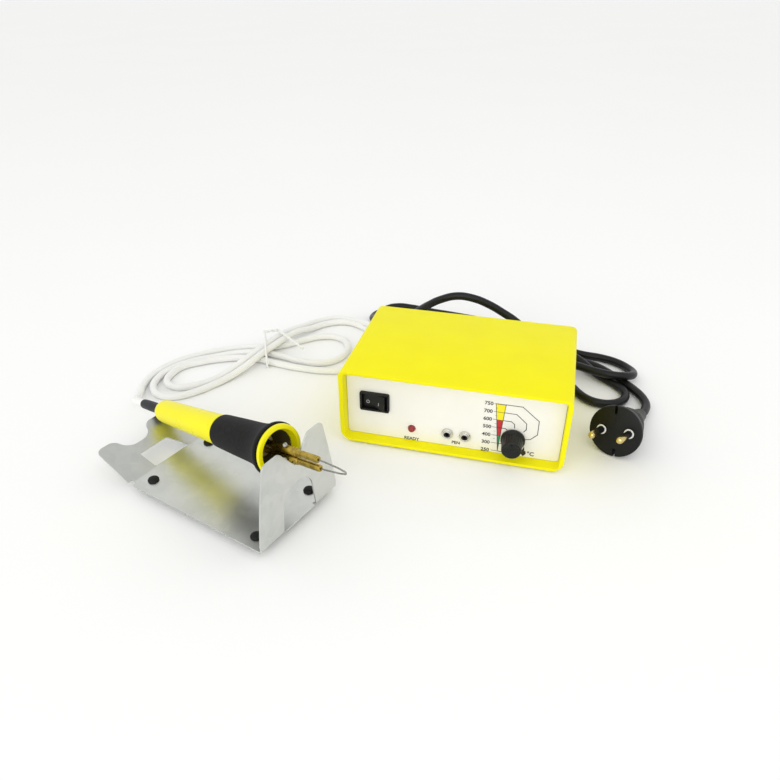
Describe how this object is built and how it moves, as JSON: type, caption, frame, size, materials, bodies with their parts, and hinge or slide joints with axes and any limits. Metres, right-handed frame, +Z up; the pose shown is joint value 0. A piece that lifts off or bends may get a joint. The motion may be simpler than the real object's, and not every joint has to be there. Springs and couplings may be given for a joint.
{
  "type": "wood burning pen station",
  "caption": "Temperature-controlled wood burning station with a tethered wire-tip pen, a bent sheet pen stand, and a mains lead with plug.",
  "frame": {"origin": "bottom centre of the box around the rigid pieces, on the table", "axes": "+X towards the station's right-hand side, +Y towards its back, +Z up; the station's control panel faces -Y"},
  "size_m": [0.4039, 0.3304, 0.0672],
  "materials": {
    "yellow_abs": "satin moulded",
    "white_panel": "satin sheet",
    "zinc_steel": "satin",
    "black_rubber": "matt",
    "enamelled_copper": "varnished",
    "board_green": "matt",
    "aluminium": "satin",
    "black_plastic": "satin",
    "red_lens": "gloss",
    "nickel": "bright",
    "galvanised": "satin galvanised",
    "black_foam": "fine open foam",
    "ceramic": "matt",
    "brass": "satin",
    "nichrome": "drawn wire",
    "white_pvc": "satin",
    "black_pvc": "satin"
  },
  "bodies": {
    "station": {"station_case": "yellow_abs", "front_panel": "white_panel", "rear_panel": "yellow_abs", "rear_panel_screw_1": "zinc_steel", "rear_panel_screw_2": "zinc_steel", "rear_panel_screw_3": "zinc_steel", "rear_panel_screw_4": "zinc_steel", "station_foot_1": "black_rubber", "station_foot_2": "black_rubber", "station_foot_3": "black_rubber", "station_foot_4": "black_rubber", "chassis_plate": "zinc_steel", "transformer_core": "zinc_steel", "transformer_winding": "enamelled_copper", "control_board": "board_green", "triac_heatsink": "aluminium", "smoothing_capacitor": "black_plastic", "terminal_block": "board_green", "potentiometer": "zinc_steel", "rocker_frame": "black_plastic", "pilot_lamp": "red_lens", "socket_left": "nickel", "socket_nut_left": "nickel", "socket_right": "nickel", "socket_nut_right": "nickel", "pen_lead_relief": "black_rubber", "mains_lead_relief": "black_rubber", "fuse_holder": "black_plastic", "stand_plate": "galvanised", "stand_foot_1": "black_rubber", "stand_foot_2": "black_rubber", "stand_foot_3": "black_rubber", "stand_foot_4": "black_rubber", "pen_lead_from_station": "white_pvc", "pen_lead_hank": "white_pvc", "pen_lead_to_pen": "white_pvc", "hank_tie": "white_pvc", "mains_lead_from_station": "black_pvc", "mains_lead_hank": "black_pvc", "mains_lead_to_plug": "black_pvc", "plug_body": "black_plastic", "plug_pin_left": "brass", "plug_pin_right": "brass"},
    "power_rocker": {"power_rocker": "black_plastic"},
    "temperature_knob": {"temperature_knob": "black_plastic", "potentiometer_spindle": "zinc_steel"},
    "pen": {"pen_handle_upper": "yellow_abs", "pen_handle_lower": "yellow_abs", "pen_handle_screw": "zinc_steel", "pen_grip": "black_foam", "pen_nose": "yellow_abs", "terminal_carrier": "ceramic", "terminal_upper": "brass", "terminal_lower": "brass", "clamp_screw_upper": "zinc_steel", "clamp_screw_lower": "zinc_steel", "pen_tail_sleeve": "black_rubber"},
    "wire_tip": {"wire_tip": "nichrome"}
  },
  "joints": [
    {"name": "power_rocker_tilt", "type": "hinge", "parent": "station", "child": "power_rocker", "pos_m": [0.01782, 0.00588, 0.0324], "axis": [0, 0, 1], "range_deg": [0, 24]},
    {"name": "temperature_knob_turn", "type": "hinge", "parent": "station", "child": "temperature_knob", "pos_m": [0.11432, -0.00232, 0.0176], "axis": [0, -1, 0], "range_deg": [-135, 135]},
    {"name": "pen_lift", "type": "slide", "parent": "station", "child": "pen", "axis": [0, 0, 1], "range_m": [0, 0.03]},
    {"name": "wire_tip_release", "type": "slide", "parent": "pen", "child": "wire_tip", "axis": [0.8863, -0.4152, 0.2053], "range_m": [0, 0.02]}
  ]
}
